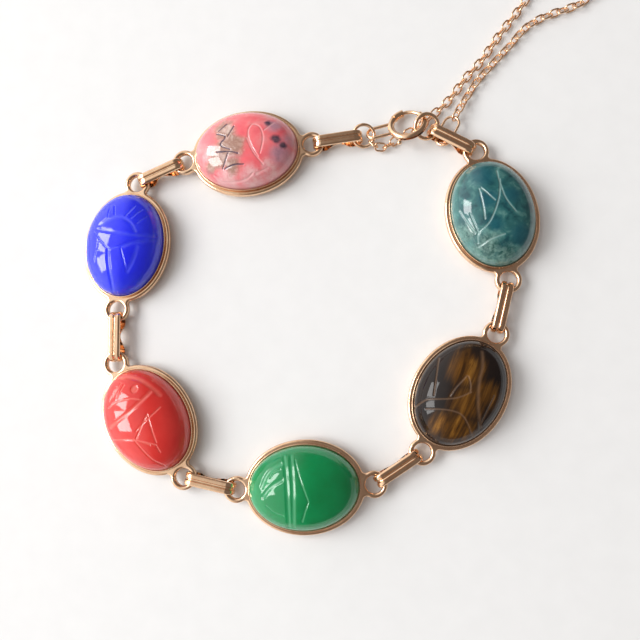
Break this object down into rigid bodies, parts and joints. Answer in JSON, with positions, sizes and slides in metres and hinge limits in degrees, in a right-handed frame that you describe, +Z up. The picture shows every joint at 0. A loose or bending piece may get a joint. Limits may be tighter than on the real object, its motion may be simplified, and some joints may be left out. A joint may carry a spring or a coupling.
{
  "type": "link bracelet",
  "caption": "Gold-coloured link bracelet with oval scarab cabochons in bezel frames, ribbed links, a spring ring clasp and a safety chain.",
  "frame": {"origin": "on the surface it lies on, below the middle of the whole bracelet's box", "axes": "+Z up, away from the surface and through the loop; +X and +Y lie in the surface, +Y from the green stone towards the clasp"},
  "size_m": [0.0806, 0.088, 0.0062],
  "materials": {
    "gold": "polished yellow gold, slightly rosy",
    "stone_pink": "polished carved stone",
    "stone_blue": "polished carved stone",
    "stone_red": "polished carved stone",
    "stone_green": "polished carved stone",
    "stone_tiger": "polished carved stone",
    "stone_teal": "polished carved stone"
  },
  "bodies": {
    "bracelet": {"frame_pink": "gold", "frame_blue": "gold", "frame_red": "gold", "frame_green": "gold", "frame_tiger": "gold", "frame_teal": "gold", "ribbed_link_1": "gold", "ribbed_link_2": "gold", "ribbed_link_3": "gold", "ribbed_link_4": "gold", "ribbed_link_5": "gold", "ribbed_link_6": "gold", "ribbed_link_7": "gold", "end_ring": "gold", "clasp_ring": "gold", "connector_ring": "gold", "chain_ring": "gold", "safety_chain": "gold", "stone_pink": "stone_pink", "stone_blue": "stone_blue", "stone_red": "stone_red", "stone_green": "stone_green", "stone_tiger": "stone_tiger", "stone_teal": "stone_teal"},
    "gate": {"gate_bolt": "gold"}
  },
  "joints": [
    {"name": "gate_slide", "type": "hinge", "parent": "bracelet", "child": "gate", "pos_m": [0.01043, 0.01726, 0.00195], "axis": [-0.1536, 0.3765, 0.9136], "range_deg": [0, 68], "stiffness_Nm_per_rad": 0.005, "springref_deg": -17.19}
  ]
}
